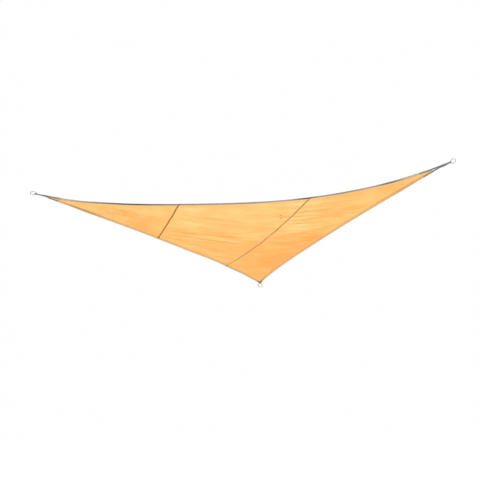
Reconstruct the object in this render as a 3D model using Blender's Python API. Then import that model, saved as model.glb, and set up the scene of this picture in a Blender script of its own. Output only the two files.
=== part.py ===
"""Triangular shade sail, stretched between the steel rings at its three corners.

Metres, +Z up. The origin is the centre of the left ring, +X runs towards the right ring,
and +Y runs towards the far ring. The sail is first laid out flat, in plan coordinates
(metres along the front chord, metres across it), and then hung as a saddle with its creases.
"""

import math
from collections import namedtuple

import bmesh
import bpy
import numpy as np
from mathutils import Vector
from mathutils.geometry import delaunay_2d_cdt

# The triangle between the corner points, with its right corner raised and its far one lowered.
SIDE = 5.0
RIGHT_RISE = 0.32
FAR_DROP = 0.54

# Cloth: a knitted shade cloth, folded twice along the edges and lapped at the seams. The hem
# rolls down a little along its outer side, and less so towards the corners.
CLOTH_THICKNESS = 0.0015
HEM_THICKNESS = 0.003
HEM_WIDTH = 0.045
HEM_STEP = 0.004
HEM_ROLL = 0.008
HEM_ROLL_WIDTH = 0.090
HEM_ROLL_START = 0.42
HEM_ROLL_FADE = 0.40
SEAM_LAP = 0.025
LAP_STEP = 0.010
LAP_RAMP = 0.060
GAP = 0.0003

# Webbing straps, drawn together to a narrow throat where they pass through their rings. A strap
# that turns on its way to the ring does so after this share of its way off the cloth.
STRAP_WIDTH = 0.030
STRAP_THROAT = 0.016
STRAP_THROAT_LENGTH = 0.090
STRAP_THICKNESS = 0.0025
STRAP_LOOP_RADIUS = 0.0075
STRAP_CLOSING = 0.040
STRAP_PARTING = 0.010
LEG_INSET = 0.017
STRAP_STEPS = 9
TWIST_START = 0.3

# Rings: round steel wire, bent and welded.
RING_RADIUS = 0.031
RING_WIRE_RADIUS = 0.004
RING_STEPS = 32
WIRE_STEPS = 10

# Spacing of the points that the cloth is laid out with.
EDGE_SPACING = 0.075
NET_SPACING = 0.072
NET_CLEARANCE = 0.030
CURVE_SAMPLES = 400

# Each edge is hollowed towards the middle by its dip, and sags by its sag. A negative skew moves
# the deepest point towards the edge's end, and a fullness over 2 makes the curve flatter there.
Edge = namedtuple("Edge", "start end dip sag skew fullness")
EDGES = {
    "front": Edge("left", "right", dip=0.480, sag=0.07, skew=-0.09, fullness=2.3),
    "right": Edge("right", "far", dip=0.480, sag=0.23, skew=-0.09, fullness=2.1),
    "left": Edge("left", "far", dip=0.475, sag=0.17, skew=-0.16, fullness=2.1),
}

# Small unevenness of an edge: a place where it stands further in (or out, if negative).
Wave = namedtuple("Wave", "edge share inset spread")
WAVES = (
    Wave("front", share=0.09, inset=0.030, spread=0.05),
    Wave("front", share=0.37, inset=-0.050, spread=0.16),
    Wave("left", share=0.61, inset=0.022, spread=0.085),
    Wave("left", share=0.79, inset=0.010, spread=0.05),
)

# A seam runs from the front chord to the left chord, at these shares of their lengths from the
# left corner, and bows by the last value, which is positive towards the right.
Seam = namedtuple("Seam", "front_share left_share bow")
SEAMS = (
    Seam(front_share=0.375, left_share=0.441, bow=0.0),
    Seam(front_share=0.711, left_share=0.734, bow=0.027),
)

# At each corner the cloth ends at its tip distance from the corner point, and the ring's wire
# meets the strap at its reach. The strap turns by its twist on the way to the ring, and the ring
# hangs down from the strap by its droop. The legs run on top of the hems, as far as their value.
Corner = namedtuple("Corner", "hems tip reach twist droop legs")
CORNERS = {
    "left": Corner(("front", "left"), tip=0.185, reach=0.031, twist=-12, droop=0, legs=0.33),
    "right": Corner(("front", "right"), tip=0.270, reach=0.031, twist=92, droop=0, legs=0.42),
    "far": Corner(("left", "right"), tip=0.140, reach=0.122, twist=0, droop=76, legs=0.36),
}

# Main creases, each a soft trough (or ridge, where its depth is negative) that follows an arch
# between two corners. The rise is the arch's height over the chord, and the shares along the
# chord say where the crease fades in and out. The spread is the half-width of the trough.
Crease = namedtuple("Crease", "edge rise start end depth spread")
CREASES = (
    Crease("front", rise=1.78, start=0.22, end=0.74, depth=0.009, spread=0.055),
    Crease("front", rise=1.60, start=0.24, end=0.80, depth=-0.008, spread=0.060),
    Crease("front", rise=1.42, start=0.18, end=0.80, depth=0.008, spread=0.050),
    Crease("front", rise=1.20, start=0.20, end=0.84, depth=-0.007, spread=0.060),
    Crease("front", rise=1.02, start=0.12, end=0.50, depth=0.007, spread=0.050),
    Crease("front", rise=0.95, start=0.56, end=0.86, depth=0.007, spread=0.050),
    Crease("front", rise=0.74, start=0.20, end=0.66, depth=-0.008, spread=0.080),
    Crease("left", rise=0.74, start=0.18, end=0.62, depth=0.007, spread=0.050),
    Crease("left", rise=0.92, start=0.20, end=0.60, depth=-0.006, spread=0.050),
    Crease("right", rise=0.78, start=0.20, end=0.60, depth=0.007, spread=0.070),
    Crease("right", rise=1.05, start=0.42, end=0.84, depth=-0.008, spread=0.090),
)
CREASE_SKEW = -0.35
CREASE_FULLNESS = 1.8
CREASE_FADE = 0.12

# Colours, roughness and metallic values of the three finishes.
CLOTH_COLOUR = (0.93, 0.50, 0.17, 1.0)
WEBBING_COLOUR = (0.26, 0.26, 0.27, 1.0)
STEEL_COLOUR = (0.62, 0.63, 0.64, 1.0)

HEIGHT = SIDE * math.sqrt(3) / 2
PLAN_CORNERS = {
    "left": np.array([0.0, 0.0]),
    "right": np.array([SIDE, 0.0]),
    "far": np.array([SIDE / 2, HEIGHT]),
}
PLAN_MIDDLE = sum(PLAN_CORNERS.values()) / 3


def hung_corners():
    """The corner points in space: all three sides keep their length when the corners are raised."""
    run = math.sqrt(SIDE**2 - RIGHT_RISE**2)
    far_x = (SIDE**2 / 2 + FAR_DROP * RIGHT_RISE) / run
    far_y = math.sqrt(SIDE**2 - FAR_DROP**2 - far_x**2)
    return np.zeros(3), np.array([run, 0.0, RIGHT_RISE]), np.array([far_x, far_y, -FAR_DROP])


LEFT_POINT, RIGHT_POINT, FAR_POINT = hung_corners()
DOWN = np.array([0.0, 0.0, -1.0])


def smooth_step(value):
    value = np.clip(value, 0.0, 1.0)
    return value * value * (3 - 2 * value)


def unit(vector):
    return vector / np.linalg.norm(vector)


def arch(share, skew, fullness):
    """Height of an arch of height 1 over its chord, at a share of the chord."""
    skewed = share + skew * share * (1 - share)
    return 1 - np.abs(2 * skewed - 1) ** fullness


def chord_axes(edge):
    """The start of an edge's chord, the way along it, and the way from it towards the middle."""
    start = PLAN_CORNERS[edge.start]
    along = unit(PLAN_CORNERS[edge.end] - start)
    inward = np.array([-along[1], along[0]])
    if inward @ (PLAN_MIDDLE - start) < 0:
        inward = -inward
    return start, along, inward


def edge_points(name, shares, inset=0.0):
    """Plan points on an edge's curve, moved square to it by the inset."""
    edge = EDGES[name]
    start, along, inward = chord_axes(edge)
    shares = np.asarray(shares)[:, None]
    hollow = edge.dip * arch(shares, edge.skew, edge.fullness)
    for wave in WAVES:
        if wave.edge == name:
            hollow = hollow + wave.inset * np.exp(-(((shares - wave.share) / wave.spread) ** 2))
    points = start + along * SIDE * shares + inward * hollow
    if inset:
        slope = np.gradient(points, axis=0)
        slope /= np.linalg.norm(slope, axis=1, keepdims=True)
        square = np.stack([-slope[:, 1], slope[:, 0]], axis=1)
        square *= np.sign(square @ inward)[:, None]
        points = points + square * inset
    return points


def seam_ends(seam):
    front_end = PLAN_CORNERS["right"] * seam.front_share
    left_end = PLAN_CORNERS["far"] * seam.left_share
    return front_end, left_end


def seam_distance(points, seam):
    """How far plan points lie to the right of a seam."""
    front_end, left_end = seam_ends(seam)
    along = unit(left_end - front_end)
    length = np.linalg.norm(left_end - front_end)
    rightward = np.array([along[1], -along[0]])
    offset = points - front_end
    share = offset @ along / length
    return offset @ rightward - seam.bow * 4 * share * (1 - share)


def seam_line(seam, distance):
    """A plan line beside a seam, long enough to cross both edges."""
    front_end, left_end = seam_ends(seam)
    along = unit(left_end - front_end)
    length = np.linalg.norm(left_end - front_end)
    rightward = np.array([along[1], -along[0]])
    count = math.ceil(length / EDGE_SPACING)
    shares = np.linspace(0, 1, count + 1)[:, None]
    bowed = rightward * (distance + seam.bow * 4 * shares * (1 - shares))
    return front_end + along * length * shares + bowed


def edge_distance(points):
    """Distance of plan points from the nearest edge of the sail."""
    nearest = np.full(len(points), np.inf)
    for name in EDGES:
        curve = edge_points(name, np.linspace(0, 1, CURVE_SAMPLES))
        slope = np.gradient(curve, axis=0)
        slope /= np.linalg.norm(slope, axis=1, keepdims=True)
        closest = np.linalg.norm(points[:, None] - curve[None], axis=2).argmin(axis=1)
        offset = points - curve[closest]
        run = slope[closest]
        nearest = np.minimum(nearest, np.abs(offset[:, 0] * run[:, 1] - offset[:, 1] * run[:, 0]))
    return nearest


def crease_height(points):
    """How far the creases lower (or raise) the cloth at plan points."""
    height = np.zeros(len(points))
    for crease in CREASES:
        edge = EDGES[crease.edge]
        start, along, inward = chord_axes(edge)
        share = (points - start) @ along / SIDE
        line = crease.rise * arch(np.clip(share, 0, 1), CREASE_SKEW, CREASE_FULLNESS)
        across = ((points - start) @ inward - line) / crease.spread
        fade_in = smooth_step((share - crease.start) / CREASE_FADE)
        fade_out = smooth_step((crease.end - share) / CREASE_FADE)
        height -= crease.depth * np.exp(-across * across) * fade_in * fade_out
    calm = smooth_step((edge_distance(points) - HEM_WIDTH) / HEM_WIDTH)
    return height * calm


def hem_roll(points):
    """How far the rolled hem lies below the cloth's run at plan points."""
    share = np.clip(1 - edge_distance(points) / HEM_ROLL_WIDTH, 0, 1)
    roll = HEM_ROLL * share * share
    for corner in PLAN_CORNERS.values():
        away = np.linalg.norm(points - corner, axis=1)
        roll = roll * smooth_step((away - HEM_ROLL_START) / HEM_ROLL_FADE)
    return roll


def straight_point(points):
    """Plan points on the flat triangle between the corner points."""
    far = points[:, 1:2] / HEIGHT
    right = points[:, 0:1] / SIDE - far / 2
    left = 1 - right - far
    return left * LEFT_POINT + right * RIGHT_POINT + far * FAR_POINT, left, right, far


def hang(points, settled=True):
    """Points in space of plan points of the hung sail, with its creases and rolled hems."""
    points = np.atleast_2d(points)
    flat, left, right, far = straight_point(points)
    sag = 4 * (EDGES["front"].sag * left * right + EDGES["right"].sag * right * far)
    sag = sag + 4 * EDGES["left"].sag * far * left
    hung = flat + sag * DOWN
    if settled:
        hung = hung + (hem_roll(points) - crease_height(points))[:, None] * DOWN
    return hung


def surface_normals(points):
    """Upward normals of the hung sail, without its creases and rolls."""
    points = np.atleast_2d(points)
    reach = 0.01
    along = hang(points + [reach, 0], settled=False) - hang(points - [reach, 0], settled=False)
    across = hang(points + [0, reach], settled=False) - hang(points - [0, reach], settled=False)
    normals = np.cross(along, across)
    return normals / np.linalg.norm(normals, axis=1, keepdims=True)


def corner_axis(name):
    """Plan direction from a corner point into the sail, midway between its two edges."""
    return unit(PLAN_MIDDLE - PLAN_CORNERS[name])


def edge_span(name):
    """Shares of an edge's chord between the cloth's two tips."""
    shares = np.linspace(0, 1, CURVE_SAMPLES)
    edge = EDGES[name]
    points = edge_points(name, shares)
    clear = np.ones(len(shares), bool)
    for corner in (edge.start, edge.end):
        reach = (points - PLAN_CORNERS[corner]) @ corner_axis(corner)
        clear &= reach > CORNERS[corner].tip
    kept = shares[clear]
    return kept[0], kept[-1]


def cloth_outline():
    """The sail's outline in plan, anticlockwise, cut square at its three tips."""
    outline = []
    for name, backwards in (("front", False), ("right", False), ("left", True)):
        first, last = edge_span(name)
        count = round((last - first) * SIDE / EDGE_SPACING)
        points = edge_points(name, np.linspace(first, last, count + 1))
        outline.extend(points[::-1] if backwards else points)
    return np.array(outline)


def inside_outline(points, outline):
    inside = np.zeros(len(points), bool)
    for first, second in zip(outline, np.roll(outline, -1, axis=0)):
        crosses = (first[1] > points[:, 1]) != (second[1] > points[:, 1])
        rise = np.where(second[1] == first[1], 1.0, second[1] - first[1])
        meets = first[0] + (points[:, 1] - first[1]) / rise * (second[0] - first[0])
        inside ^= crosses & (points[:, 0] < meets)
    return inside


def net_points(outline, lines):
    """An even net of plan points that stays clear of the outline and of all lines."""
    row_height = NET_SPACING * math.sqrt(3) / 2
    rows = []
    for row in range(math.ceil(HEIGHT / row_height)):
        shift = NET_SPACING / 2 * (row % 2)
        across = np.arange(shift, SIDE, NET_SPACING)
        rows.append(np.stack([across, np.full(len(across), row * row_height)], axis=1))
    net = np.concatenate(rows)
    net = net[inside_outline(net, outline)]
    for line in lines:
        away = np.linalg.norm(net[:, None] - line[None], axis=2).min(axis=1)
        net = net[away > NET_CLEARANCE]
    return net


def lay_out_cloth():
    """The flat sail as points and triangles, with lines along its hems and seam laps."""
    outline = cloth_outline()
    lines = []
    for name in EDGES:
        shares = np.linspace(0, 1, round(SIDE / EDGE_SPACING) + 1)
        for inset in (HEM_WIDTH, HEM_WIDTH + HEM_STEP):
            lines.append(edge_points(name, shares, inset))
    for seam in SEAMS:
        for distance in (-SEAM_LAP / 2 - LAP_STEP, -SEAM_LAP / 2, SEAM_LAP / 2, SEAM_LAP / 2 + LAP_STEP):
            lines.append(seam_line(seam, distance))
    points = list(outline)
    borders = []
    for line in lines:
        first = len(points)
        points.extend(line)
        borders.extend((index, index + 1) for index in range(first, first + len(line) - 1))
    points.extend(net_points(outline, [outline, *lines]))
    face = list(range(len(outline)))
    flat = [Vector(point) for point in points]
    laid, _, triangles, _, _, sources = delaunay_2d_cdt(flat, borders, [face], 1, 1e-5)
    kept = [triangle for triangle, source in zip(triangles, sources) if source]
    return np.array([tuple(point) for point in laid]), np.array(kept)


def thickness_at(points):
    """Cloth thickness: more along the hems, and single again where two hems lap at a seam."""
    thickness = np.full(len(points), CLOTH_THICKNESS)
    hemmed = edge_distance(points) < HEM_WIDTH + HEM_STEP / 2
    for seam in SEAMS:
        hemmed &= np.abs(seam_distance(points, seam)) > SEAM_LAP / 2 + LAP_STEP / 2
    thickness[hemmed] = HEM_THICKNESS
    return thickness


def lap_height(points, seams_and_sides):
    """How far a panel rises at the seams where it lies on top, and drops where it lies below."""
    height = np.zeros(len(points))
    step = (CLOTH_THICKNESS + GAP) / 2
    for seam, side in seams_and_sides:
        away = np.abs(seam_distance(points, seam)) - SEAM_LAP / 2
        height += side * step * smooth_step(1 - away / LAP_RAMP)
    return height


def mesh_object(name, points, faces, material, smooth_angle=40):
    mesh = bpy.data.meshes.new(name)
    mesh.from_pydata([tuple(point) for point in points], [], [tuple(face) for face in faces])
    work = bmesh.new()
    work.from_mesh(mesh)
    loose = [vertex for vertex in work.verts if not vertex.link_faces]
    bmesh.ops.delete(work, geom=loose, context="VERTS")
    work.to_mesh(mesh)
    work.free()
    mesh.shade_smooth()
    mesh.set_sharp_from_angle(angle=math.radians(smooth_angle))
    mesh.materials.append(material)
    made = bpy.data.objects.new(name, mesh)
    bpy.context.scene.collection.objects.link(made)
    return made


def slab(name, plan, triangles, height, thickness, material):
    """A closed sheet over the given triangles, with its rim closed all round."""
    used = np.unique(triangles)
    index = np.full(len(plan), -1)
    index[used] = np.arange(len(used))
    triangles = index[triangles]
    plan = plan[used]
    middle = hang(plan)
    normals = surface_normals(plan)
    upper = middle + normals * (height[used] + thickness[used] / 2)[:, None]
    lower = middle + normals * (height[used] - thickness[used] / 2)[:, None]
    count = len(used)
    faces = [tuple(face) for face in triangles]
    faces += [tuple(face[::-1] + count) for face in triangles]
    forward = {(face[i], face[(i + 1) % 3]) for face in triangles for i in range(3)}
    rim = sorted(side for side in forward if side[::-1] not in forward)
    faces += [(second, first, first + count, second + count) for first, second in rim]
    return mesh_object(name, np.concatenate([upper, lower]), faces, material)


def build_panels(material):
    """The three panels: each later one lies over the one before it at their seam."""
    plan, triangles = lay_out_cloth()
    corners = plan[triangles]
    turn = np.cross(corners[:, 1] - corners[:, 0], corners[:, 2] - corners[:, 0])
    triangles[turn < 0] = triangles[turn < 0][:, ::-1]
    centres = plan[triangles].mean(axis=1)
    first, second = SEAMS
    past_first = seam_distance(centres, first)
    past_second = seam_distance(centres, second)
    lap = SEAM_LAP / 2
    thickness = thickness_at(plan)
    panels = (
        ("panel_left", past_first < lap, [(first, -1)]),
        ("panel_middle", (past_first > -lap) & (past_second < lap), [(first, 1), (second, -1)]),
        ("panel_right", past_second > -lap, [(second, 1)]),
    )
    for name, chosen, sides in panels:
        slab(name, plan, triangles[chosen], lap_height(plan, sides), thickness, material)


def corner_frame(name, distance, side=0.0):
    """A point of the hung surface near a corner, with the ways along, sideways and up there."""
    axis = corner_axis(name)
    sideways = np.array([-axis[1], axis[0]])
    plan = PLAN_CORNERS[name] + axis * distance + sideways * side
    ahead = hang(plan + axis * 0.005, settled=False)[0]
    along = unit(ahead - hang(plan, settled=False)[0])
    up = surface_normals(plan)[0]
    return hang(plan)[0], along, np.cross(up, along), up


def turned(sideways, up, degrees):
    """The sideways and up directions after a turn about the way along."""
    angle = math.radians(degrees)
    across = math.cos(angle) * sideways + math.sin(angle) * up
    over = -math.sin(angle) * sideways + math.cos(angle) * up
    return across, over


def leg_stations(name):
    """Distances from the corner point along a strap, and its two legs' sideways places there.

    On the cloth each leg follows its hem. From the cloth's tip it runs straight to the ring.
    """
    corner = CORNERS[name]
    axis = corner_axis(name)
    sideways = np.array([-axis[1], axis[0]])
    off_cloth = np.linspace(corner.reach, corner.tip, STRAP_STEPS, endpoint=False)
    on_cloth = np.linspace(corner.tip, corner.legs, STRAP_STEPS)
    run = (off_cloth - corner.reach) / (corner.tip - corner.reach)
    legs = []
    for hem in corner.hems:
        middle = edge_points(hem, np.linspace(0, 1, CURVE_SAMPLES), LEG_INSET) - PLAN_CORNERS[name]
        order = np.argsort(middle @ axis)
        sides = np.interp(on_cloth, (middle @ axis)[order], (middle @ sideways)[order])
        legs.append(np.concatenate([run * sides[0], sides]))
    return np.concatenate([off_cloth, on_cloth]), legs


def leg_heights(name, distance, apart):
    """Heights of a strap's two legs off the hung surface, where they are so far apart sideways."""
    corner = CORNERS[name]
    stacked = 1 - smooth_step((apart - STRAP_WIDTH) / STRAP_PARTING)
    half_way = stacked * (STRAP_THICKNESS + GAP) / 2
    closed = smooth_step((distance - corner.reach) / STRAP_CLOSING)
    half_way = half_way * closed + STRAP_LOOP_RADIUS * (1 - closed)
    past_ring = corner.reach + RING_WIRE_RADIUS
    lifted = smooth_step((distance - past_ring) / (corner.tip - STRAP_THICKNESS - past_ring))
    middle = lifted * (HEM_THICKNESS / 2 + GAP + STRAP_THICKNESS / 2 + half_way)
    return middle - half_way, middle + half_way


def strap_path(name):
    """A strap's centre points, outer sides and widths: up one hem, round the ring, and back."""
    corner = CORNERS[name]
    distances, (first_leg, second_leg) = leg_stations(name)
    throat_end = max(corner.reach + STRAP_THROAT_LENGTH, corner.tip)
    ways = ([], [])
    for distance, first, second in zip(distances, first_leg, second_leg):
        heights = leg_heights(name, distance, abs(first - second))
        run = (corner.tip - distance) / (corner.tip - corner.reach)
        twist = corner.twist * smooth_step((run - TWIST_START) / (1 - TWIST_START))
        gathered = smooth_step((throat_end - distance) / (throat_end - corner.reach))
        width = STRAP_WIDTH + (STRAP_THROAT - STRAP_WIDTH) * gathered
        for way, side, height, outer in zip(ways, (first, second), heights, (-1, 1)):
            point, _, sideways, up = corner_frame(name, distance, side)
            _, over = turned(sideways, up, twist)
            way.append((point + over * height, outer * over, width))
    held, along, sideways, up = corner_frame(name, corner.reach)
    _, over = turned(sideways, up, corner.twist)
    bend = []
    for step in range(1, STRAP_STEPS):
        angle = math.pi * step / STRAP_STEPS
        away = -over * math.cos(angle) - along * math.sin(angle)
        bend.append((held + away * STRAP_LOOP_RADIUS, away, STRAP_THROAT))
    return ways[0][::-1] + bend + ways[1]


def build_strap(name, material):
    centres, outers, widths = (np.array(column) for column in zip(*strap_path(name)))
    ways = np.gradient(centres, axis=0)
    acrosses = np.cross(ways, outers)
    acrosses /= np.linalg.norm(acrosses, axis=1, keepdims=True)
    points = []
    for centre, outer, across, width in zip(centres, outers, acrosses, widths):
        wide = across * width / 2
        thick = outer * STRAP_THICKNESS / 2
        points += [centre + wide + thick, centre - wide + thick, centre - wide - thick, centre + wide - thick]
    faces = [(0, 1, 2, 3)]
    for station in range(len(centres) - 1):
        near = 4 * station
        for side in range(4):
            following = (side + 1) % 4
            faces.append((near + side, near + 4 + side, near + 4 + following, near + following))
    last = 4 * (len(centres) - 1)
    faces.append((last + 3, last + 2, last + 1, last))
    return mesh_object(f"strap_{name}", points, faces, material, smooth_angle=50)


def build_ring(name, material):
    """A welded round ring, in line with its strap or hanging down from it."""
    corner = CORNERS[name]
    held, along, sideways, up = corner_frame(name, corner.reach)
    across, over = turned(sideways, up, corner.twist)
    droop = math.radians(corner.droop)
    outward = -math.cos(droop) * along - math.sin(droop) * over
    centre = held + outward * RING_RADIUS
    square = np.cross(outward, across)
    points = []
    for step in range(RING_STEPS):
        angle = math.tau * step / RING_STEPS
        radial = math.cos(angle) * outward + math.sin(angle) * across
        for turn in range(WIRE_STEPS):
            around = math.tau * turn / WIRE_STEPS
            section = math.cos(around) * radial + math.sin(around) * square
            points.append(centre + radial * RING_RADIUS + section * RING_WIRE_RADIUS)
    faces = []
    for step in range(RING_STEPS):
        after = (step + 1) % RING_STEPS
        for turn in range(WIRE_STEPS):
            following = (turn + 1) % WIRE_STEPS
            near, far = step * WIRE_STEPS, after * WIRE_STEPS
            faces.append((near + turn, far + turn, far + following, near + following))
    return mesh_object(f"ring_{name}", points, faces, material, smooth_angle=80)


def finish(name, colour, roughness, metallic):
    material = bpy.data.materials.new(name)
    material.use_nodes = True
    shader = material.node_tree.nodes["Principled BSDF"]
    shader.inputs["Base Color"].default_value = colour
    shader.inputs["Roughness"].default_value = roughness
    shader.inputs["Metallic"].default_value = metallic
    return material


def main():
    for old in list(bpy.data.objects):
        bpy.data.objects.remove(old)
    cloth = finish("shade_cloth", CLOTH_COLOUR, roughness=0.85, metallic=0.0)
    webbing = finish("webbing", WEBBING_COLOUR, roughness=0.75, metallic=0.0)
    steel = finish("steel", STEEL_COLOUR, roughness=0.3, metallic=1.0)
    build_panels(cloth)
    for name in CORNERS:
        build_strap(name, webbing)
        build_ring(name, steel)


main()
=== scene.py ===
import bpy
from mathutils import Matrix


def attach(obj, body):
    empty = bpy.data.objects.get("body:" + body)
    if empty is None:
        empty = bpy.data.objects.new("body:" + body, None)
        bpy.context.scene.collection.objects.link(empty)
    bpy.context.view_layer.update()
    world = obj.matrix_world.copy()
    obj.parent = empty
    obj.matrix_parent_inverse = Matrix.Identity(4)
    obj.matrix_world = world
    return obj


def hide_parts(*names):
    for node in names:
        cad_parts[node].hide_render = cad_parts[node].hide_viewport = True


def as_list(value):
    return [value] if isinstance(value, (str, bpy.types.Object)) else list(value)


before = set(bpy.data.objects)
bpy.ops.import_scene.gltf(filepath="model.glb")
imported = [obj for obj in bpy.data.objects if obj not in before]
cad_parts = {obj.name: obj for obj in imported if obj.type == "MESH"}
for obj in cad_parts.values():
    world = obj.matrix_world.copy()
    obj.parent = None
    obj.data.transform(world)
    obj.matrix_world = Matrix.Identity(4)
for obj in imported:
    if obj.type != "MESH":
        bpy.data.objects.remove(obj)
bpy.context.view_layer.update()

import math
from collections import namedtuple

import bpy
import numpy as np
from mathutils import Matrix, Vector, noise
from mathutils.bvhtree import BVHTree
from mathutils.geometry import delaunay_2d_cdt

# ---------------------------------------------------------------------------------------------
# The cloth: three panels of knitted shade cloth with hollow edges, pulled out by the corners. The
# right corner is the highest, the far one the lowest, and the cloth sags into a shallow saddle.
# Edges are folded and sewn down, and each panel laps over the one on its left, sewn in two rows.
SIDE = 5.0
HEIGHT = SIDE * math.sqrt(3) / 2
RIGHT_RISE = 0.32
FAR_DROP = 0.54
CURVE_SAMPLES = 400
POINTS_AT_ONCE = 4000
SLOPE_REACH = 0.01
DOWN = np.array([0.0, 0.0, -1.0])

CLOTH_THICKNESS = 0.0015
HEM_THICKNESS = 0.003
HEM_WIDTH = 0.045
HEM_STEP = 0.004
HEM_ROLL = 0.008
HEM_ROLL_WIDTH = 0.090
HEM_ROLL_START = 0.42
HEM_ROLL_FADE = 0.40
RIM_BULGE = 0.0007
HALF_LAP = 0.0125
LAP_STEP = 0.010
LAP_RAMP = 0.060
GAP = 0.0003
LINE_SPACING = 0.020
NET_SPACING = 0.017
NET_CLEARANCE = 0.4 * NET_SPACING
INSIDE_ONLY = 1
SAME_PLACE = 1e-5

# Plan places are metres along the front chord and metres across it. Each edge is hollowed by its
# dip and sags by its sag, and its waves are places where it stands a little further in or out.
Edge = namedtuple("Edge", "start end dip sag skew fullness")
EDGES = {
    "front": Edge("left", "right", dip=0.480, sag=0.07, skew=-0.09, fullness=2.3),
    "right": Edge("right", "far", dip=0.480, sag=0.23, skew=-0.09, fullness=2.1),
    "left": Edge("left", "far", dip=0.475, sag=0.17, skew=-0.16, fullness=2.1),
}
Wave = namedtuple("Wave", "edge share inset spread")
WAVES = (
    Wave("front", share=0.09, inset=0.030, spread=0.05),
    Wave("front", share=0.37, inset=-0.050, spread=0.16),
    Wave("left", share=0.61, inset=0.022, spread=0.085),
    Wave("left", share=0.79, inset=0.010, spread=0.05),
)
Seam = namedtuple("Seam", "front_share left_share bow")
SEAMS = (
    Seam(front_share=0.375, left_share=0.441, bow=0.0),
    Seam(front_share=0.711, left_share=0.734, bow=0.027),
)
Corner = namedtuple("Corner", "hems tip reach twist droop legs")
CORNERS = {
    "left": Corner(("front", "left"), tip=0.185, reach=0.031, twist=-12, droop=0, legs=0.33),
    "right": Corner(("front", "right"), tip=0.270, reach=0.031, twist=92, droop=0, legs=0.42),
    "far": Corner(("left", "right"), tip=0.140, reach=0.122, twist=0, droop=76, legs=0.36),
}
PLAN_CORNERS = {
    "left": np.array([0.0, 0.0]),
    "right": np.array([SIDE, 0.0]),
    "far": np.array([SIDE / 2, HEIGHT]),
}
PLAN_MIDDLE = sum(PLAN_CORNERS.values()) / 3

# The main creases are soft troughs, or ridges where their depth is negative, that follow an arch
# over a chord.
Crease = namedtuple("Crease", "edge rise start end depth spread")
CREASES = (
    Crease("front", rise=1.78, start=0.22, end=0.74, depth=0.009, spread=0.055),
    Crease("front", rise=1.60, start=0.24, end=0.80, depth=-0.008, spread=0.060),
    Crease("front", rise=1.42, start=0.18, end=0.80, depth=0.008, spread=0.050),
    Crease("front", rise=1.20, start=0.20, end=0.84, depth=-0.007, spread=0.060),
    Crease("front", rise=1.02, start=0.12, end=0.50, depth=0.007, spread=0.050),
    Crease("front", rise=0.95, start=0.56, end=0.86, depth=0.007, spread=0.050),
    Crease("front", rise=0.74, start=0.20, end=0.66, depth=-0.008, spread=0.080),
    Crease("left", rise=0.74, start=0.18, end=0.62, depth=0.007, spread=0.050),
    Crease("left", rise=0.92, start=0.20, end=0.60, depth=-0.006, spread=0.050),
    Crease("right", rise=0.78, start=0.20, end=0.60, depth=0.007, spread=0.070),
    Crease("right", rise=1.05, start=0.42, end=0.84, depth=-0.008, spread=0.090),
)
CREASE_SKEW = -0.35
CREASE_FULLNESS = 1.8
CREASE_FADE = 0.12
SEAM_STIFFNESS = 0.6
SEAM_CALM = 0.05

# The fine folds fan out from the left corner and level out towards the right. A fold's number is
# its height in the plan at FAN_MIDDLE. Along some the colour is painted darker, as painted shade in
# the fold where the knit bunches, and along others, with a negative amount, lighter, as painted light.
FAN_MIDDLE = 1.9
FAN_SLOPE = 0.45
FAN_LEVEL = 3.0
FAN_SINK = 0.25
FAN_START, FAN_REACH, FAN_WIDENING = 1.4, 0.8, 1.3
FoldLine = namedtuple("FoldLine", "number start end bunched")
FOLD_LINES = (
    FoldLine(0.79, 1.65, 2.50, 0.20),
    FoldLine(0.94, 1.50, 2.20, -0.12),
    FoldLine(1.08, 1.40, 2.40, 0.18),
    FoldLine(1.22, 1.35, 2.30, -0.15),
    FoldLine(1.26, 2.75, 3.35, 0.35),
    FoldLine(1.35, 1.30, 2.65, 0.40),
    FoldLine(1.41, 1.35, 2.60, -0.12),
    FoldLine(1.49, 1.30, 2.75, 0.25),
    FoldLine(1.56, 1.40, 2.60, -0.20),
    FoldLine(1.65, 1.30, 2.30, 0.25),
    FoldLine(1.74, 2.60, 3.05, 0.40),
    FoldLine(1.77, 1.45, 2.40, -0.15),
    FoldLine(1.90, 1.45, 2.45, 0.20),
    FoldLine(2.02, 1.50, 2.30, -0.10),
    FoldLine(2.14, 1.50, 2.40, 0.20),
    FoldLine(2.40, 1.70, 2.20, 0.20),
)
FOLD_LINE_WIDTH = 0.024
FOLD_LINE_FADE = 0.35

# A patch is a soft round spot on the sail: its middle, its reach along and across, its amount.
Patch = namedtuple("Patch", "along across reach_along reach_across amount")
# How strongly the fine folds and the painted shade and light streaks beside them show.
FOLD_STRENGTH = (
    Patch(1.80, 1.85, 0.55, 0.75, 0.60),
    Patch(3.15, 1.28, 0.30, 0.60, 0.72),
    Patch(3.55, 0.85, 0.35, 0.30, 0.30),
    Patch(1.10, 0.75, 0.40, 0.35, 0.20),
    Patch(2.30, 0.75, 0.50, 0.25, -0.06),
)
FOLD_BASE = 0.16
FOLD_HEIGHT = 0.0022
FINE_FOLD_SHARE = 0.60
FOLD_SHARPNESS = 0.22
SOFT_HEIGHT = 0.0014
# Folds follow a smooth noise, stretched to a pitch across them and a length along them.
Wrinkles = namedtuple("Wrinkles", "pitch length seed")
LONG_FOLDS = Wrinkles(pitch=0.130, length=1.20, seed=3.7)
FINE_FOLDS = Wrinkles(pitch=0.130 / 1.9, length=1.20 / 2.3, seed=11.2)
SOFT_FOLDS = Wrinkles(pitch=0.036, length=0.55, seed=29.1)
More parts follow.
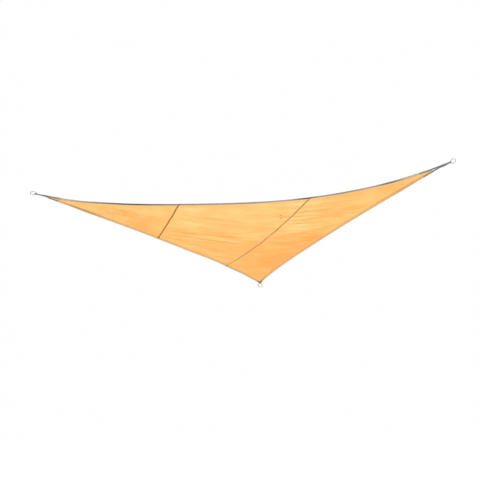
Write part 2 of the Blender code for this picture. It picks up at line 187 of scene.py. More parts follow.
# Puckers stand square to the first seam, and run out from the second one as the folds do, mostly
# on its right and in its front part.
SHORT_PUCKERS = Wrinkles(pitch=0.060, length=0.25, seed=21.4)
LONG_PUCKERS = Wrinkles(pitch=0.060, length=0.45, seed=5.9)
PUCKER_HEIGHT = 0.0014
PUCKER_START = 0.03
SHORT_PUCKER_REACH = 0.07
LONG_PUCKER_REACH = 0.28
BACK_PUCKER_REACH = 0.05
PUCKER_FRONT = 2.3
PUCKER_FRONT_FADE = 0.9
PUCKER_REST = 0.25

# Where the colour is paler or deeper: partly a more or less open stretched knit, partly painted light
# and painted shade where more or less light comes through.
OPEN_KNIT_AND_LIGHT = (
    Patch(1.86, 0.60, 0.13, 0.10, 0.35),
    Patch(2.30, 0.85, 0.75, 0.40, 0.18),
    Patch(1.25, 0.58, 0.22, 0.12, 0.22),
    Patch(3.00, 1.30, 0.20, 0.22, 0.15),
    Patch(3.20, 1.00, 0.20, 0.22, 0.22),
    Patch(3.36, 0.72, 0.16, 0.16, 0.34),
    Patch(2.45, 1.40, 0.40, 0.20, 0.14),
    Patch(3.10, 0.62, 0.12, 0.12, 0.20),
    Patch(3.95, 0.75, 0.12, 0.12, 0.15),
    Patch(4.30, 0.45, 0.15, 0.10, -0.25),
    Patch(3.32, 1.75, 0.22, 0.42, -0.38),
    Patch(2.86, 2.32, 0.34, 0.48, -0.32),
    Patch(2.50, 3.00, 0.50, 0.75, -0.24),
    Patch(1.15, 1.05, 0.22, 0.20, -0.22),
    Patch(1.70, 1.55, 0.35, 0.35, -0.08),
)
OPEN_KNIT_AND_LIGHT_BASE = 0.47

# Where the hems are painted darker, as painted shade, and where dirt has gathered in small blotches.
HEM_SHADE = (
    Patch(2.60, 0.42, 2.20, 0.20, 0.16),
    Patch(1.10, 0.36, 0.52, 0.20, 0.78),
    Patch(1.95, 0.45, 0.25, 0.20, 0.15),
    Patch(2.50, 0.48, 0.35, 0.20, 0.20),
    Patch(3.25, 0.46, 0.12, 0.16, 0.60),
    Patch(3.70, 0.40, 0.25, 0.16, 0.25),
    Patch(4.26, 0.30, 0.14, 0.14, 0.60),
    Patch(2.50, 4.10, 0.20, 0.30, 0.25),
)
HEM_SHADE_BASE = 0.04
BLOTCHES = (
    Patch(0.92, 0.55, 0.26, 0.16, 0.80),
    Patch(1.15, 0.75, 0.20, 0.15, 0.40),
    Patch(3.85, 0.80, 0.22, 0.20, 0.25),
    Patch(1.85, 0.75, 0.18, 0.20, 0.40),
)


def smooth_step(value):
    value = np.clip(value, 0.0, 1.0)
    return value * value * (3 - 2 * value)


def unit(vector):
    return vector / np.linalg.norm(vector, axis=-1, keepdims=True)


def left_of(way):
    """The plan direction square to a way, on its left."""
    return np.stack([-way[..., 1], way[..., 0]], axis=-1)


def hill(away, width):
    """1 in the middle, falling off softly to either side."""
    return np.exp(-((away / width) ** 2))


def faded(value, start, end, fade):
    """1 between a start and an end, with soft ends inside them."""
    return smooth_step((value - start) / fade) * smooth_step((end - value) / fade)


def hung_corners():
    run = math.sqrt(SIDE**2 - RIGHT_RISE**2)
    far_x = (SIDE**2 / 2 + FAR_DROP * RIGHT_RISE) / run
    far_y = math.sqrt(SIDE**2 - FAR_DROP**2 - far_x**2)
    return np.zeros(3), np.array([run, 0.0, RIGHT_RISE]), np.array([far_x, far_y, -FAR_DROP])


LEFT_POINT, RIGHT_POINT, FAR_POINT = hung_corners()


def arch(share, skew, fullness):
    """An arch over a span: nought at its ends and 1 at its top."""
    skewed = share + skew * share * (1 - share)
    return 1 - np.abs(2 * skewed - 1) ** fullness


def chord_axes(edge):
    start = PLAN_CORNERS[edge.start]
    along = unit(PLAN_CORNERS[edge.end] - start)
    inward = left_of(along)
    if inward @ (PLAN_MIDDLE - start) < 0:
        inward = -inward
    return start, along, inward


def edge_points(name, shares, inset=0.0):
    """Plan points on an edge's curve, moved square to it by the inset."""
    edge = EDGES[name]
    start, along, inward = chord_axes(edge)
    shares = np.asarray(shares)[:, None]
    hollow = edge.dip * arch(shares, edge.skew, edge.fullness)
    for wave in WAVES:
        if wave.edge == name:
            hollow = hollow + wave.inset * hill(shares - wave.share, wave.spread)
    points = start + along * SIDE * shares + inward * hollow
    if inset:
        square = left_of(unit(np.gradient(points, axis=0)))
        square *= np.sign(square @ inward)[:, None]
        points = points + square * inset
    return points


def edge_distance(points):
    """Distance of plan points from the nearest edge of the sail."""
    nearest = np.full(len(points), np.inf)
    for name in EDGES:
        curve = edge_points(name, np.linspace(0, 1, CURVE_SAMPLES))
        slope = unit(np.gradient(curve, axis=0))
        closest = np.concatenate([
            np.linalg.norm(part[:, None] - curve[None], axis=2).argmin(axis=1)
            for part in np.array_split(points, len(points) // POINTS_AT_ONCE + 1)
        ])
        offset = points - curve[closest]
        run = slope[closest]
        nearest = np.minimum(nearest, np.abs(offset[:, 0] * run[:, 1] - offset[:, 1] * run[:, 0]))
    return nearest


def patches(points, rows, base):
    """A base amount with the rows' soft round patches added."""
    total = np.full(len(points), float(base))
    for row in rows:
        away_along = (points[:, 0] - row.along) / row.reach_along
        away_across = (points[:, 1] - row.across) / row.reach_across
        total += row.amount * np.exp(-away_along**2 - away_across**2)
    return total


def waviness(wrinkles, across, along):
    """Smooth noise from -1 to 1, stretched to the wrinkles' pitch and length."""
    pairs = zip(across / wrinkles.pitch, along / wrinkles.length)
    return np.array([noise.noise(Vector((a, b, wrinkles.seed))) for a, b in pairs])


def wrinkled(wrinkles, across, along):
    """Narrow lines, 1 at their middle, where the noise passes through nought."""
    return hill(waviness(wrinkles, across, along), FOLD_SHARPNESS)


def seam_axes(seam):
    """A seam's front end, the ways along it and to its right, and its length."""
    front_end = PLAN_CORNERS["right"] * seam.front_share
    whole = PLAN_CORNERS["far"] * seam.left_share - front_end
    along = unit(whole)
    return front_end, along, -left_of(along), np.linalg.norm(whole)


def seam_bow(seam, share):
    """How far a seam bows to the right at a share of its length."""
    return seam.bow * 4 * share * (1 - share)


def seam_place(points, seam):
    """How far plan points lie to the right of a seam, and how far along it from its front end."""
    front_end, along, rightward, length = seam_axes(seam)
    offset = points - front_end
    share = offset @ along / length
    return offset @ rightward - seam_bow(seam, share), share * length


def seam_calm(points):
    """1 away from the seams, less beside them, where the doubled cloth stays flatter."""
    calm = np.ones(len(points))
    for seam in SEAMS:
        calm *= 1 - SEAM_STIFFNESS * hill(seam_place(points, seam)[0], SEAM_CALM)
    return calm


def creases(points):
    """Heights of the main creases."""
    height = np.zeros(len(points))
    for crease in CREASES:
        start, along, inward = chord_axes(EDGES[crease.edge])
        share = (points - start) @ along / SIDE
        line = crease.rise * arch(np.clip(share, 0, 1), CREASE_SKEW, CREASE_FULLNESS)
        trough = crease.depth * hill((points - start) @ inward - line, crease.spread)
        height -= trough * faded(share, crease.start, crease.end, CREASE_FADE)
    return height * seam_calm(points)


def fold_place(points):
    """Where plan points lie along the front chord, and the number of the fine fold through them."""
    steps = np.linspace(0, SIDE, CURVE_SAMPLES)
    slopes = FAN_SLOPE * np.clip((FAN_LEVEL - steps) / (FAN_LEVEL - FAN_MIDDLE), -FAN_SINK, 1)
    heights = np.cumsum(slopes) * steps[1]
    along, across = points[:, 0], points[:, 1]
    climb = np.interp(along, steps, heights) - np.interp(FAN_MIDDLE, steps, heights)
    widened = 1 + FAN_WIDENING * smooth_step((across - FAN_START) / FAN_REACH)
    return along, across - climb * widened


def painted_fold_shading(points):
    """Painted shade along the fold lines where the knit bunches, or painted light where it is negative.
    """
    along, number = fold_place(points)
    bunched = np.zeros(len(points))
    for line in FOLD_LINES:
        strength = line.bunched * faded(along, line.start, line.end, FOLD_LINE_FADE)
        bunched += strength * hill(number - line.number, FOLD_LINE_WIDTH)
    return bunched


def puckered(wrinkles, across, along, away, reach):
    """Puckers that start a little off a seam and die away from it."""
    grown = smooth_step(np.abs(away) / PUCKER_START) * np.exp(-np.abs(away) / reach)
    return wrinkled(wrinkles, across, along) * grown


def folds(points):
    """Heights of the fine folds beside the creases, and of the puckers at the seams."""
    along, number = fold_place(points)
    strength = patches(points, FOLD_STRENGTH, FOLD_BASE)
    fine = FINE_FOLD_SHARE * wrinkled(FINE_FOLDS, number, along)
    drawn = strength * np.maximum(wrinkled(LONG_FOLDS, number, along), fine)
    soft = strength * waviness(SOFT_FOLDS, number, along)
    away, run = seam_place(points, SEAMS[0])
    short = puckered(SHORT_PUCKERS, run, away, away, SHORT_PUCKER_REACH)
    away, run = seam_place(points, SEAMS[1])
    reach = np.where(away > 0, LONG_PUCKER_REACH, BACK_PUCKER_REACH)
    front = smooth_step((PUCKER_FRONT - run) / PUCKER_FRONT_FADE)
    front = PUCKER_REST + (1 - PUCKER_REST) * front
    long = puckered(LONG_PUCKERS, number, along, away, reach) * front
    height = FOLD_HEIGHT * drawn + PUCKER_HEIGHT * np.maximum(short, long) + SOFT_HEIGHT * soft
    return height * seam_calm(points) ** 3


def hem_calm(from_edge):
    """0 on a hem and 1 well inside it, as the folds die out towards the hems."""
    return smooth_step((from_edge - HEM_WIDTH) / HEM_WIDTH)


def hem_roll(points, from_edge):
    """How far the edge rolls downwards, except near the corners, where the straps hold it flat."""
    share = np.clip(1 - from_edge / HEM_ROLL_WIDTH, 0, 1)
    roll = HEM_ROLL * share * share
    for corner in PLAN_CORNERS.values():
        away = np.linalg.norm(points - corner, axis=1)
        roll = roll * smooth_step((away - HEM_ROLL_START) / HEM_ROLL_FADE)
    return roll


def hang(points, settled=True, folded=False):
    """Points in space of plan points: on the plain saddle, with its creases, or with folds too."""
    points = np.atleast_2d(points)
    far = points[:, 1:2] / HEIGHT
    right = points[:, 0:1] / SIDE - far / 2
    left = 1 - right - far
    sag = 4 * (EDGES["front"].sag * left * right + EDGES["right"].sag * right * far)
    sag = sag + 4 * EDGES["left"].sag * far * left
    hung = left * LEFT_POINT + right * RIGHT_POINT + far * FAR_POINT + sag * DOWN
    if settled:
        from_edge = edge_distance(points)
        height = creases(points)
        if folded:
            height = height + folds(points)
        hung = hung + (hem_roll(points, from_edge) - height * hem_calm(from_edge))[:, None] * DOWN
    return hung


def surface_normals(points):
    """The ways up from the plain saddle at plan points."""
    points = np.atleast_2d(points)
    slopes = []
    for step in ([SLOPE_REACH, 0], [0, SLOPE_REACH]):
        slopes.append(hang(points + step, settled=False) - hang(points - step, settled=False))
    return unit(np.cross(*slopes))


def corner_axis(name):
    return unit(PLAN_MIDDLE - PLAN_CORNERS[name])


def edge_span(name):
    """The shares of an edge's chord where the cloth's own edge starts and ends."""
    shares = np.linspace(0, 1, CURVE_SAMPLES)
    edge = EDGES[name]
    points = edge_points(name, shares)
    clear = np.ones(len(shares), bool)
    for corner in (edge.start, edge.end):
        reach = (points - PLAN_CORNERS[corner]) @ corner_axis(corner)
        clear &= reach > CORNERS[corner].tip
    kept = shares[clear]
    return kept[0], kept[-1]


def cloth_outline():
    outline = []
    for name, backwards in (("front", False), ("right", False), ("left", True)):
        first, last = edge_span(name)
        count = round((last - first) * SIDE / LINE_SPACING)
        points = edge_points(name, np.linspace(first, last, count + 1))
        outline.extend(points[::-1] if backwards else points)
    return np.array(outline)


def seam_line(seam, distance, spacing=LINE_SPACING):
    front_end, along, rightward, length = seam_axes(seam)
    shares = np.linspace(0, 1, math.ceil(length / spacing) + 1)[:, None]
    return front_end + along * length * shares + rightward * (distance + seam_bow(seam, shares))


def inside_outline(points, outline):
    """Which plan points lie inside a closed outline."""
    inside = np.zeros(len(points), bool)
    for first, second in zip(outline, np.roll(outline, -1, axis=0)):
        crosses = (first[1] > points[:, 1]) != (second[1] > points[:, 1])
        rise = second[1] - first[1] or 1.0
        meets = first[0] + (points[:, 1] - first[1]) / rise * (second[0] - first[0])
        inside ^= crosses & (points[:, 0] < meets)
    return inside


def net_points(outline):
    """An even net of plan points, clear of the edges, the hem's fold and the seams' laps."""
    row_height = NET_SPACING * math.sqrt(3) / 2
    rows = []
    for row in range(math.ceil(HEIGHT / row_height)):
        across = np.arange(NET_SPACING / 2 * (row % 2), SIDE, NET_SPACING)
        rows.append(np.stack([across, np.full(len(across), row * row_height)], axis=1))
    net = np.concatenate(rows)
    net = net[inside_outline(net, outline)]
    from_edge = edge_distance(net)
    clear = from_edge > NET_CLEARANCE
    for line in (HEM_WIDTH, HEM_WIDTH + HEM_STEP):
        clear &= np.abs(from_edge - line) > NET_CLEARANCE
    for seam in SEAMS:
        away = np.abs(seam_place(net, seam)[0])
        for line in (HALF_LAP, HALF_LAP + LAP_STEP):
            clear &= np.abs(away - line) > NET_CLEARANCE
    return net[clear]


def doubled_areas(corners):
    """Twice the areas of plan triangles, negative where they turn the other way."""
    first, second = corners[:, 1] - corners[:, 0], corners[:, 2] - corners[:, 0]
    return first[:, 0] * second[:, 1] - first[:, 1] * second[:, 0]


def lay_out_cloth():
    """Plan points and triangles of the whole sail, with lines at the hems' folds and the laps."""
    outline = cloth_outline()
    lines = []
    for name in EDGES:
        shares = np.linspace(0, 1, round(SIDE / LINE_SPACING) + 1)
        for inset in (HEM_WIDTH, HEM_WIDTH + HEM_STEP):
            lines.append(edge_points(name, shares, inset))
    for seam in SEAMS:
        for distance in (-HALF_LAP - LAP_STEP, -HALF_LAP, HALF_LAP, HALF_LAP + LAP_STEP):
            lines.append(seam_line(seam, distance))
    points = list(outline)
    borders = []
    for line in lines:
        first = len(points)
        points.extend(line)
        borders.extend((index, index + 1) for index in range(first, first + len(line) - 1))
    points.extend(net_points(outline))
    flat = [Vector(point) for point in points]
    face = list(range(len(outline)))
    laid, _, triangles, _, _, sources = delaunay_2d_cdt(flat, borders, [face], INSIDE_ONLY, SAME_PLACE)
    kept = np.array([triangle for triangle, source in zip(triangles, sources) if source])
    plan = np.array([tuple(point) for point in laid])
    turned_over = doubled_areas(plan[kept]) < 0
    kept[turned_over] = kept[turned_over][:, ::-1]
    return plan, kept


def layer_share(points):
    """1 where the cloth is folded in a hem, 0 where it is single."""
    hemmed = edge_distance(points) < HEM_WIDTH + HEM_STEP / 2
    for seam in SEAMS:
        hemmed &= np.abs(seam_place(points, seam)[0]) > HALF_LAP + LAP_STEP / 2
    return hemmed.astype(float)


def lap_height(points, seams_and_sides):
    """How far a panel is lifted (side 1) or pressed down (side -1) to pass its neighbour at a lap."""
    height = np.zeros(len(points))
    step = (CLOTH_THICKNESS + GAP) / 2
    for seam, side in seams_and_sides:
        away = np.abs(seam_place(points, seam)[0]) - HALF_LAP
        height += side * step * smooth_step(1 - away / LAP_RAMP)
    return height


def point_values(mesh, name, values):
    layer = mesh.attributes.new(name, "FLOAT", "POINT")
    layer.data.foreach_set("value", np.asarray(values, np.float32))


def lay_map(mesh, name, places):
    """A UV map in metres, from one place for each vertex."""
    layer = mesh.uv_layers.new(name=name)
    vertices = np.empty(len(mesh.loops), np.int32)
    mesh.loops.foreach_get("vertex_index", vertices)
    layer.data.foreach_set("uv", np.asarray(places, np.float32)[vertices].ravel())


def put_in_scene(name, data):
    made = bpy.data.objects.new(name, data)
    bpy.context.scene.collection.objects.link(made)
    return made


def made_piece(name, points, faces, material, sharp_from):
    mesh = bpy.data.meshes.new(name)
    whole = [tuple(int(corner) for corner in face) for face in faces]
    mesh.from_pydata(np.asarray(points).tolist(), [], whole)
    mesh.materials.append(material)
    mesh.shade_smooth()
    mesh.set_sharp_from_angle(angle=math.radians(sharp_from))
    return put_in_scene(name, mesh)


def cloth_panel(name, plan, triangles, laps, material):
    """A closed sheet over the given triangles: top, underside and a rounded rim."""
    used = np.unique(triangles)
    index = np.full(len(plan), -1)
    index[used] = np.arange(len(used))
    triangles = index[triangles]
    plan = plan[used]
    layers = layer_share(plan)
    thickness = CLOTH_THICKNESS + (HEM_THICKNESS - CLOTH_THICKNESS) * layers
    normals = surface_normals(plan)
    middle = hang(plan, folded=True) + normals * lap_height(plan, laps)[:, None]
    count = len(used)
    forward = {(int(a), int(b)) for face in triangles for a, b in zip(face, np.roll(face, -1))}
    rim = sorted(side for side in forward if side[::-1] not in forward)
    rim_index = {first: 2 * count + place for place, (first, _) in enumerate(rim)}
    outward = np.zeros((count, 3))
    for first, second in rim:
        way = middle[second] - middle[first]
        for end in (first, second):
            outward[end] += unit(np.cross(way, normals[end]))
    rim_ends = np.array([first for first, _ in rim])
    bulged = middle[rim_ends] + unit(outward[rim_ends]) * RIM_BULGE
    upper = middle + normals * thickness[:, None] / 2
    lower = middle - normals * thickness[:, None] / 2
    faces = [tuple(face) for face in triangles]
    faces += [tuple(face[::-1] + count) for face in triangles]
    for first, second in rim:
        near, far = rim_index[first], rim_index[second]
        faces.append((second, first, near, far))
        faces.append((far, near, first + count, second + count))
    panel = made_piece(name, np.concatenate([upper, lower, bulged]), faces, material, sharp_from=50)
    rows = np.concatenate([np.arange(count), np.arange(count), rim_ends])
    from_edge = edge_distance(plan)
    calm = hem_calm(from_edge)
    values = {
        "inset": from_edge,
        "bunched": painted_fold_shading(plan) * calm,
        "streak_shading": np.clip(patches(plan, FOLD_STRENGTH, FOLD_BASE) * calm, 0, 1),
        "open_and_lit": np.clip(patches(plan, OPEN_KNIT_AND_LIGHT, OPEN_KNIT_AND_LIGHT_BASE), 0, 1),
        "shaded_hem": np.clip(patches(plan, HEM_SHADE, HEM_SHADE_BASE), 0, 1),
        "blotchy": np.clip(patches(plan, BLOTCHES, 0), 0, 1),
    }
    for value_name, value in values.items():
        point_values(panel.data, value_name, value[rows])
    (from_first, _), (from_second, run) = (seam_place(plan, seam) for seam in SEAMS)
    lay_map(panel.data, "knit", np.stack([from_second, run], axis=1)[rows])
    lay_map(panel.data, "from seams", np.stack([from_first, from_second], axis=1)[rows])
    lay_map(panel.data, "folds", np.stack(fold_place(plan), axis=1)[rows])
    return panel


def new_group(name, inputs, outputs):
    """A shader group with a place input, number inputs with their usual values, and outputs."""
    tree = bpy.data.node_groups.new(name, "ShaderNodeTree")
    tree.interface.new_socket("Place", in_out="INPUT", socket_type="NodeSocketVector")
    for label, value in inputs.items():
        socket = tree.interface.new_socket(label, in_out="INPUT", socket_type="NodeSocketFloat")
        socket.default_value = value
    for label in outputs:
        tree.interface.new_socket(label, in_out="OUTPUT", socket_type="NodeSocketFloat")
    return tree, tree.nodes.new("NodeGroupInput").outputs, tree.nodes.new("NodeGroupOutput").inputs


def fill(tree, socket, value):
    """Joins a socket to an input, or sets the input to a plain value."""
    if isinstance(value, bpy.types.NodeSocket):
        tree.links.new(value, socket)
    else:
        socket.default_value = value


def fill_all(tree, node, sockets):
    for socket, value in dict(sockets).items():
        fill(tree, node.inputs[socket], value)


def add(tree, kind, sockets=(), **settings):
    """A new node with its settings, and with its sockets filled by label or number."""
    node = tree.nodes.new(kind)
    for setting, value in settings.items():
        setattr(node, setting, value)
    fill_all(tree, node, sockets)
    return node


def reckon(tree, operation, *values, clamp=False):
    node = add(tree, "ShaderNodeMath", enumerate(values), operation=operation, use_clamp=clamp)
    return node.outputs[0]


def spread(tree, value, low, high, to_low=0.0, to_high=1.0, soft=False):
    """Maps a value from one range to another, held at its ends."""
    sockets = enumerate((value, low, high, to_low, to_high))
    kind = "SMOOTHSTEP" if soft else "LINEAR"
    return add(tree, "ShaderNodeMapRange", sockets, interpolation_type=kind).outputs["Result"]


def clouds(tree, place, scale, detail=5.0, roughness=0.6):
    sockets = {"Vector": place, "Scale": scale, "Detail": detail, "Roughness": roughness}
    return add(tree, "ShaderNodeTexNoise", sockets).outputs["Fac"]


def blend(tree, share, first, second, kind="MIX"):
    """A mix of two colours, each a socket or a plain colour."""
    sockets = {0: share, 6: first, 7: second}
    return add(tree, "ShaderNodeMix", sockets, data_type="RGBA", blend_type=kind).outputs[2]


def place_group(tree, group, place, **values):
    sockets = {label.replace("_", " "): value for label, value in values.items()}
    return add(tree, "ShaderNodeGroup", sockets | {"Place": place}, node_tree=group).outputs


def mapped(tree, name):
    return add(tree, "ShaderNodeUVMap", uv_map=name).outputs[0]


def axes_of(tree, vector):
    return add(tree, "ShaderNodeSeparateXYZ", {0: vector}).outputs


def object_place(tree):
    return tree.nodes.new("ShaderNodeTexCoord").outputs["Object"]


def raised(tree, height, distance, strength):
    sockets = {"Height": height, "Distance": distance, "Strength": strength}
    return add(tree, "ShaderNodeBump", sockets).outputs[0]


def new_material(name):
    """A new material, its tree and its principled shader."""
    material = bpy.data.materials.new(name)
    material.use_nodes = True
    return material, material.node_tree, material.node_tree.nodes["Principled BSDF"]


def finish_with(tree, share, first, second):
    """Ends a material with a mix of two shaders."""
    both = add(tree, "ShaderNodeMixShader", {0: share, 1: first.outputs[0], 2: second.outputs[0]})
    fill(tree, tree.nodes["Material Output"].inputs["Surface"], both.outputs[0])


RIB_RELIEF = 0.6
STITCH_RELIEF = 0.8
SOIL_RANGE = (0.38, 0.68)


def ribs_group():
    """The height of ribs along a map's second way, crossed by slanting stitches."""
    numbers = {"Rib width": 0.004, "Stitch length": 0.003, "Slant": 0.5}
    tree, given, put_out = new_group("ribs and stitches", numbers, ("Height",))
    across, along, _ = axes_of(tree, given["Place"])
    rib = reckon(tree, "DIVIDE", across, given["Rib width"])
    course = reckon(tree, "DIVIDE", along, given["Stitch length"])
    half_turn = reckon(tree, "MULTIPLY", reckon(tree, "PINGPONG", rib, 0.5), math.pi)
    lean = reckon(tree, "MULTIPLY", reckon(tree, "PINGPONG", rib, 1.0), given["Slant"])
    crossing = reckon(tree, "PINGPONG", reckon(tree, "ADD", course, lean), 0.5)
    crossing = reckon(tree, "MULTIPLY", crossing, STITCH_RELIEF)
    height = reckon(tree, "MULTIPLY_ADD", reckon(tree, "SINE", half_turn), RIB_RELIEF, crossing)
    fill(tree, put_out["Height"], height)
    return tree


def soiling_group():
    """Uneven soiling: a soft mask of large clouds broken up by small ones."""
    tree, given, put_out = new_group("uneven soiling", {"Scale": 2.0, "Amount": 0.5}, ("Mask",))
    cloudy = clouds(tree, given["Place"], given["Scale"], roughness=0.62)
    fill(tree, put_out["Mask"], spread(tree, cloudy, *SOIL_RANGE, 0.0, given["Amount"]))
    return tree


RIBS = ribs_group()
SOILING = soiling_group()

CLOTH_DEEP = (1.0, 0.69, 0.33, 1)
CLOTH_OPEN_LIT = (1.0, 0.90, 0.62, 1)
UNEVEN_SCALE = 5.5
UNEVEN_RANGE = (0.3, 0.7)
UNEVEN_AMOUNT = 0.16
# Fine streaks along the folds, painted shade and painted light of the folds where the knit bunches
# and stretches: how many waves a metre there are along and across, and how far they darken or lighten
# it.
Streaks = namedtuple("Streaks", "along across amount")
SHADE_STREAKS = (Streaks(0.7, 5.0, 0.25), Streaks(1.3, 14.0, 0.55), Streaks(2.4, 27.0, 0.60))
STREAK_RANGE = (0.32, 0.68)
HEM_COLOUR = (0.86, 0.70, 0.50, 1)
# The darkest painted shade on the hems.
HEM_SHADED = (0.25, 0.16, 0.09, 1)
HEM_BLUR = 0.0015
LAP_COLOUR = (1.0, 0.88, 0.55, 1)
LAP_LINE = (0.76, 0.50, 0.15, 1)
LAP_LINE_EDGE = (0.0056, 0.0084)
LAP_LINE_SHARES = (1.0, 0.45)
SOIL_TINT = (0.90, 0.82, 0.72, 1)
BLOTCH_TINT = (0.84, 0.74, 0.62, 1)
BLOTCH_SCALE = 34.0
BLOTCH_RANGE = (0.48, 0.66)
GAP_TINT = (1.0, 0.97, 0.90, 1)
RIB_TINT = (0.90, 0.81, 0.71, 1)
SPECK_COLOUR = (0.30, 0.16, 0.07, 1)
THROUGH_SHARE = 0.62
HEM_THROUGH_SHARE = 0.48
KNIT_RIB = 0.0042
KNIT_COURSE = 0.0030
KNIT_SLANT = 0.9
# Two small dark round specks on the cloth.
Speck = namedtuple("Speck", "along across radius")
SPECKS = (Speck(2.934, 0.885, 0.011), Speck(2.937, 0.985, 0.012))
SPECK_DEPTH = 0.8
SPECK_EDGE = (0.5, 1.3)


def cloth_colour(tree):
    """The cloth's colour with its painted light and shade, knit, hems, laps, soiling and dark specks;
    the hems; the knit's height.
    """
    values = {}
    for name in ("inset", "bunched", "streak_shading", "open_and_lit", "shaded_hem", "blotchy"):
        values[name] = add(tree, "ShaderNodeAttribute", attribute_name=name).outputs["Fac"]
    place = object_place(tree)
    uneven = clouds(tree, place, UNEVEN_SCALE, detail=6.0)
    uneven = spread(tree, uneven, *UNEVEN_RANGE, -UNEVEN_AMOUNT, UNEVEN_AMOUNT)
    # Share of the pale colour: random unevenness, then painted light and shade from the patches, the
    # fold lines and the streaks.
    light_and_tone_share = reckon(tree, "ADD", values["open_and_lit"], uneven)
    # Painted shade along the fold lines, and painted light where it is negative.
    light_and_tone_share = reckon(tree, "SUBTRACT", light_and_tone_share, values["bunched"])
    # Painted shade and light in fine streaks along the folds.
    for streaks in SHADE_STREAKS:
        sockets = {0: mapped(tree, "folds"), 1: (streaks.along, streaks.across, 0)}
        stretched = add(tree, "ShaderNodeVectorMath", sockets, operation="MULTIPLY").outputs[0]
        waves = clouds(tree, stretched, 1.0, detail=1.5)
        waves = spread(tree, waves, *STREAK_RANGE, -streaks.amount, streaks.amount)
        light_and_tone_share = reckon(tree, "MULTIPLY_ADD", waves, values["streak_shading"], light_and_tone_share)
    light_and_tone_share = reckon(tree, "ADD", light_and_tone_share, 0.0, clamp=True)
    # Painted light and shade: paler where more light is painted coming through, deeper where less.
    colour = blend(tree, light_and_tone_share, CLOTH_DEEP, CLOTH_OPEN_LIT)
    soil = place_group(tree, SOILING, place, Scale=1.7, Amount=0.30)["Mask"]
    colour = blend(tree, soil, colour, SOIL_TINT, "MULTIPLY")
    blotch = spread(tree, clouds(tree, place, BLOTCH_SCALE, detail=3.0), *BLOTCH_RANGE)
    blotch = reckon(tree, "MULTIPLY", blotch, values["blotchy"])
    colour = blend(tree, blotch, colour, BLOTCH_TINT, "MULTIPLY")
    sizes = {"Rib_width": KNIT_RIB, "Stitch_length": KNIT_COURSE, "Slant": KNIT_SLANT}
    knit = place_group(tree, RIBS, mapped(tree, "knit"), **sizes)["Height"]
    colour = blend(tree, 1.0, colour, blend(tree, knit, GAP_TINT, RIB_TINT), "MULTIPLY")
    # Two small dark round specks.
    for speck in SPECKS:
        middle = hang(np.array([[speck.along, speck.across]]))[0]
        away = add(tree, "ShaderNodeVectorMath", {0: place, 1: middle}, operation="DISTANCE")
        edge = (share * speck.radius for share in SPECK_EDGE)
        specked = spread(tree, away.outputs["Value"], *edge, SPECK_DEPTH, 0.0, soft=True)
        colour = blend(tree, specked, colour, SPECK_COLOUR)
    for away, share in zip(axes_of(tree, mapped(tree, "from seams")), LAP_LINE_SHARES):
        away = reckon(tree, "ABSOLUTE", away)
        lapped = spread(tree, away, HALF_LAP, HALF_LAP + HEM_BLUR, 1.0, 0.0)
        colour = blend(tree, lapped, colour, LAP_COLOUR)
        line = spread(tree, away, *LAP_LINE_EDGE, share, 0.0, soft=True)
        colour = blend(tree, line, colour, LAP_LINE)
    # The hems' own colour, painted darker in places as painted shade.
    hem = blend(tree, values["shaded_hem"], HEM_COLOUR, HEM_SHADED)
    hemmed = spread(tree, values["inset"], HEM_WIDTH, HEM_WIDTH + HEM_BLUR, 1.0, 0.0)
    return blend(tree, hemmed, colour, hem), hemmed, knit


def cloth_material():
    """Knitted cloth that lets most of the light through, as light spreads in thin yarn."""
    material, tree, lit = new_material("knitted shade cloth")
    colour, hemmed, knit = cloth_colour(tree)
    bump = raised(tree, knit, distance=0.0005, strength=0.5)
    finish = {"Roughness": 0.85, "Sheen Weight": 0.10, "Specular IOR Level": 0.25}
    fill_all(tree, lit, finish | {"Base Color": colour, "Normal": bump})
    through = add(tree, "ShaderNodeBsdfTranslucent", {"Color": colour, "Normal": bump})
    share = spread(tree, hemmed, 0.0, 1.0, THROUGH_SHARE, HEM_THROUGH_SHARE)
    finish_with(tree, share, lit, through)
    return material


shade_cloth = cloth_material()
plan, triangles = lay_out_cloth()
centres = plan[triangles].mean(axis=1)
past_first = seam_place(centres, SEAMS[0])[0]
past_second = seam_place(centres, SEAMS[1])[0]
Panel = namedtuple("Panel", "name chosen laps rests_on")
PANELS = (
    Panel("panel_left", past_first < HALF_LAP, [(SEAMS[0], -1)], ["strap_left"]),
    Panel("panel_middle", (past_first > -HALF_LAP) & (past_second < HALF_LAP),
          [(SEAMS[0], 1), (SEAMS[1], -1)], ["panel_left", "panel_right"]),
    Panel("panel_right", past_second > -HALF_LAP, [(SEAMS[1], 1)], ["strap_right", "strap_far"]),
)
cloth_pieces = {}
for panel in PANELS:
    chosen = triangles[panel.chosen]
    piece = cloth_panel(panel.name + "_cloth", plan, chosen, panel.laps, shade_cloth)
    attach(piece, "root")
    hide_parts(panel.name)
    area = float(np.abs(doubled_areas(plan[chosen])).sum() / 2)
    across_roll, along_roll = seam_place(plan[np.unique(chosen)], SEAMS[1])
    flat = (float(np.ptp(across_roll)), float(np.ptp(along_roll)))
    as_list(panel.rests_on)
    cloth_pieces[panel.name] = piece

# ---------------------------------------------------------------------------------------------
# The corner straps: polyester webbing. Each comes up one hem, passes through its ring and goes
# back down the other hem, drawn together to a narrow throat at the ring and turned in line with
# it. Its two legs lie on top of the hems and are sewn down there.
STRAP_WIDTH = 0.030
STRAP_THROAT = 0.016
STRAP_THROAT_LENGTH = 0.090
STRAP_THICKNESS = 0.0025
STRAP_LOOP_RADIUS = 0.0075
STRAP_CLOSING = 0.040
STRAP_PARTING = 0.010
LEG_INSET = 0.017
TWIST_START = 0.3
RING_WIRE_RADIUS = 0.004
CORNER_SLOPE_REACH = 0.005
OFF_CLOTH_STEPS = 30
ON_CLOTH_STEPS = 16
LOOP_STEPS = 16
